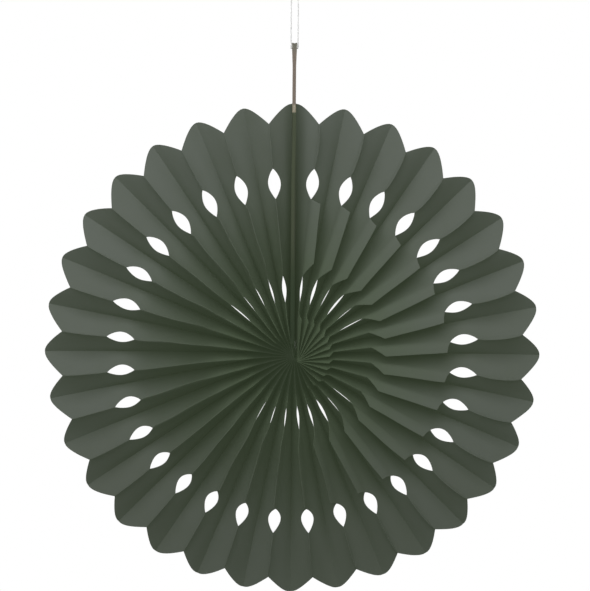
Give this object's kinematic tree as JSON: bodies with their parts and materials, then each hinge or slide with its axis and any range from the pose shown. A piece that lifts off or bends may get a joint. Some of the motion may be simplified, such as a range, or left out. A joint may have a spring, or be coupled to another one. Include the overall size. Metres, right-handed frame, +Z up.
{
  "type": "paper fan medallion",
  "caption": "Hanging pleated paper fan opened to a full disc with pointed petals, leaf-shaped holes and a card tab on a looped string.",
  "frame": {"origin": "top of the string's loop, where a hook bears; the disc hangs below it", "axes": "+Z up along the string; the disc stands in the XZ plane with its front towards -Y"},
  "size_m": [0.4, 0.0305, 0.507],
  "materials": {
    "fan_paper": "matte dark grey-green tissue paper",
    "board": "matte grey-brown card",
    "adhesive": "matte adhesive strip",
    "string": "thin white string"
  },
  "bodies": {
    "root": {"pleated_paper_fan": "fan_paper", "left_end_page": "fan_paper", "right_end_page": "fan_paper", "left_cover_board": "board", "right_cover_board": "board", "adhesive_strip": "adhesive", "hanging_string": "string", "string_knot": "string", "string_loop": "string"}
  },
  "joints": []
}
